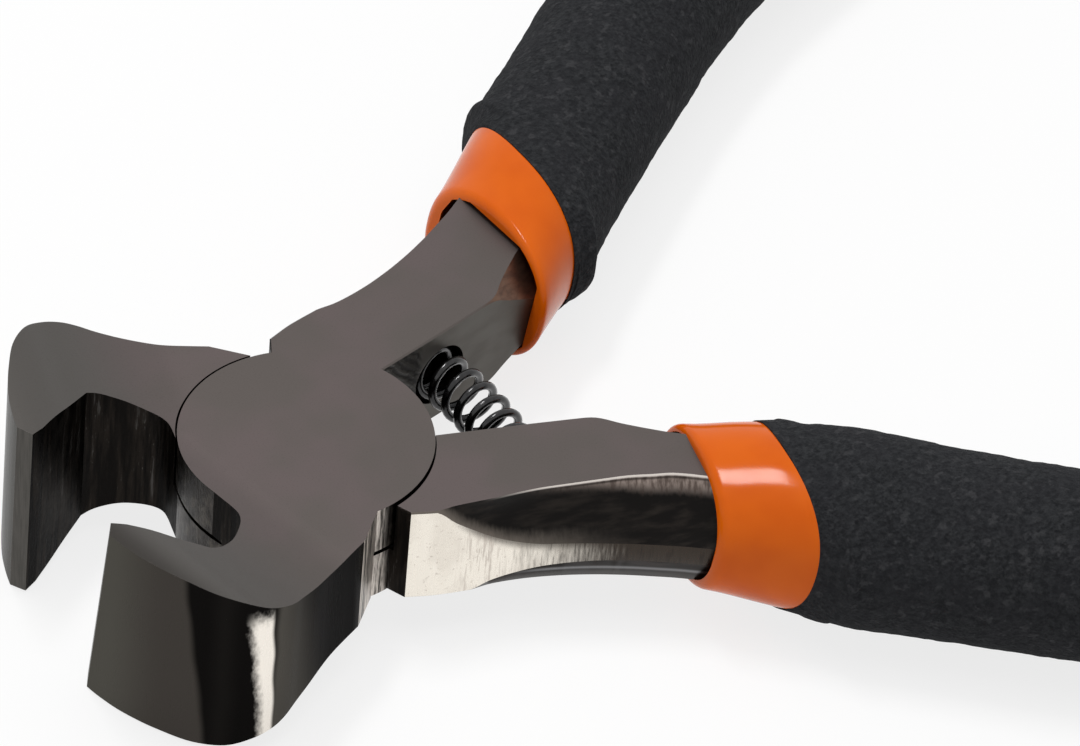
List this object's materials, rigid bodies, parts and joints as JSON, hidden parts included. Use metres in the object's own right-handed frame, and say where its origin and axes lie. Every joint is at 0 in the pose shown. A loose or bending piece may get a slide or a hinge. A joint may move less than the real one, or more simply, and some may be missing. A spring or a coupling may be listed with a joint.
{
  "type": "front cutting pliers",
  "caption": "Small front cutting pliers: crossed forged levers on a flush rivet, return spring, and foam grips over plastic sleeves.",
  "frame": {"origin": "on the pivot's axis, in the flat underside of the joint", "axes": "+X from the pivot towards the handles, +Z along the pivot's axis from the riveted underside to the plain top face"},
  "size_m": [0.1059, 0.101, 0.0139],
  "materials": {
    "ground_steel": "satin, dark nickel",
    "spring_steel": "oiled dark wire",
    "orange_pvc": "glossy",
    "black_foam": "matt foam"
  },
  "bodies": {
    "half_a": {"lever_a": "ground_steel", "pivot_rivet": "ground_steel", "return_spring": "spring_steel", "grip_sleeve_a": "orange_pvc", "foam_grip_a": "black_foam"},
    "half_b": {"lever_b": "ground_steel", "grip_sleeve_b": "orange_pvc", "foam_grip_b": "black_foam"}
  },
  "joints": [
    {"name": "pivot", "type": "hinge", "parent": "half_a", "child": "half_b", "pos_m": [0, 0, 0.00355], "axis": [0, 0, 1], "range_deg": [-9.2, 27.4], "stiffness_Nm_per_rad": 0.6, "deforming": ["return_spring"]}
  ]
}
